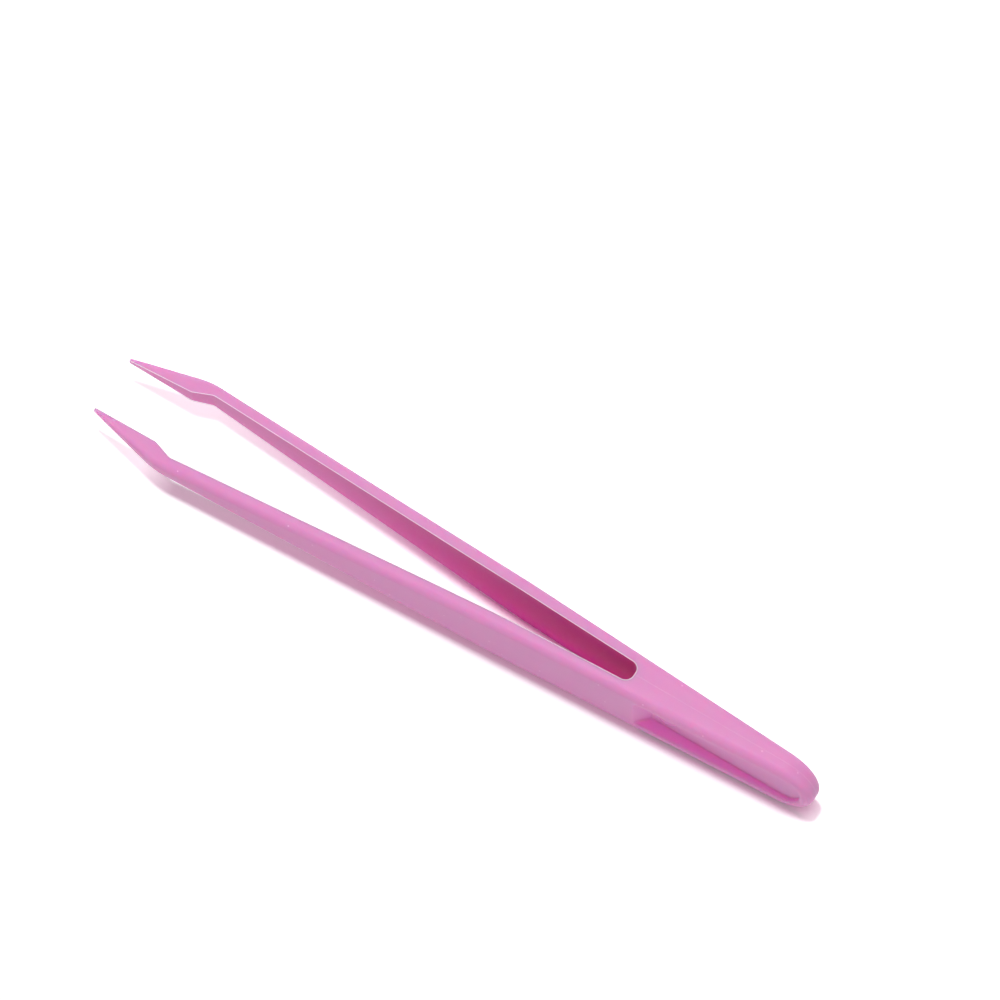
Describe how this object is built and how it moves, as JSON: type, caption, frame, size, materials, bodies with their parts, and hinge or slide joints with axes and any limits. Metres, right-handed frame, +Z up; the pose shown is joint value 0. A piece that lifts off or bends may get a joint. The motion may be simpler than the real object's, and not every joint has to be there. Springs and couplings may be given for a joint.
{
  "type": "plastic tweezers",
  "caption": "One-piece moulded plastic tweezers: tapered springy arms with bent, pointed tips, joined in a flat round-ended handle with a shallow recess in each broad face.",
  "frame": {"origin": "middle of the footprint, on the surface that the narrow edge stands on", "axes": "+X from the tips to the round end of the handle, +Y from the front arm to the rear arm across the opening, +Z up across the width"},
  "size_m": [0.118, 0.0152, 0.0109],
  "materials": {
    "pink_plastic": "satin"
  },
  "bodies": {
    "root": {"tweezers": "pink_plastic"}
  },
  "joints": []
}
